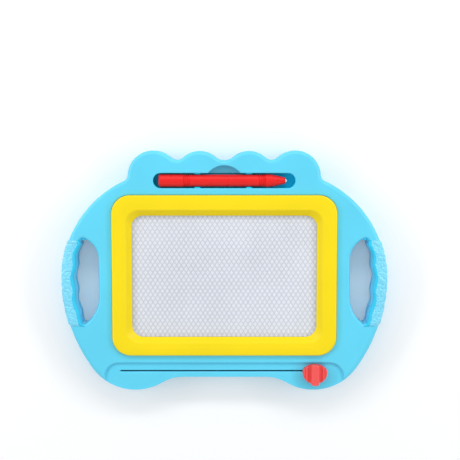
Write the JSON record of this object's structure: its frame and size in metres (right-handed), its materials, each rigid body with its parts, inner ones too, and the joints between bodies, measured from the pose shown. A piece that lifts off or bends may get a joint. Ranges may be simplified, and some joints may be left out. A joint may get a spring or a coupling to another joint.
{
  "type": "magnetic drawing board",
  "caption": "Hand-held magnetic drawing board with side handles, a framed honeycomb screen, a sliding eraser under it and a magnetic pen in a tray above it.",
  "frame": {"origin": "middle of the flat back, under the middle of the board's outline", "axes": "+X to the right of the picture side, along the longest side; +Y to the top of the picture, towards the pen tray; +Z out of the screen"},
  "size_m": [0.2604, 0.1919, 0.0265],
  "materials": {
    "blue_plastic": "glossy moulded plastic, pebbled on the grips",
    "rear_blue_plastic": "semi-gloss moulded plastic",
    "yellow_plastic": "glossy moulded plastic",
    "screen_film": "clear film over pale grey honeycomb cells",
    "honeycomb_plastic": "thin-walled honeycomb filled with white magnetic fluid",
    "back_film": "smooth film",
    "seal_adhesive": "set adhesive",
    "pen_red_plastic": "glossy moulded plastic",
    "knob_red_plastic": "glossy moulded plastic",
    "carrier_plastic": "natural moulded plastic",
    "ferrite_rubber": "dark magnetic rubber",
    "bright_steel": "bright plated",
    "zinc_steel": "zinc plated"
  },
  "bodies": {
    "board": {"front_housing": "blue_plastic", "rear_housing": "rear_blue_plastic", "bezel_frame": "yellow_plastic", "screen_front_film": "screen_film", "honeycomb_core": "honeycomb_plastic", "screen_back_film": "back_film", "screen_edge_seal": "seal_adhesive", "housing_screw_1": "zinc_steel", "housing_screw_2": "zinc_steel", "housing_screw_3": "zinc_steel", "housing_screw_4": "zinc_steel", "housing_screw_5": "zinc_steel", "housing_screw_6": "zinc_steel", "housing_screw_7": "zinc_steel", "housing_screw_8": "zinc_steel"},
    "eraser": {"slider_knob": "knob_red_plastic", "eraser_carrier": "carrier_plastic", "eraser_magnet_strip": "ferrite_rubber"},
    "pen": {"pen_barrel": "pen_red_plastic", "pen_nose": "pen_red_plastic", "pen_end_cap": "pen_red_plastic", "pen_magnet": "bright_steel"}
  },
  "joints": [
    {"name": "eraser_slide", "type": "slide", "parent": "board", "child": "eraser", "axis": [1, 0, 0], "range_m": [-0.1522, 0]},
    {"name": "pen_lift", "type": "slide", "parent": "board", "child": "pen", "axis": [0, 0, 1], "range_m": [0, 0.05]}
  ]
}
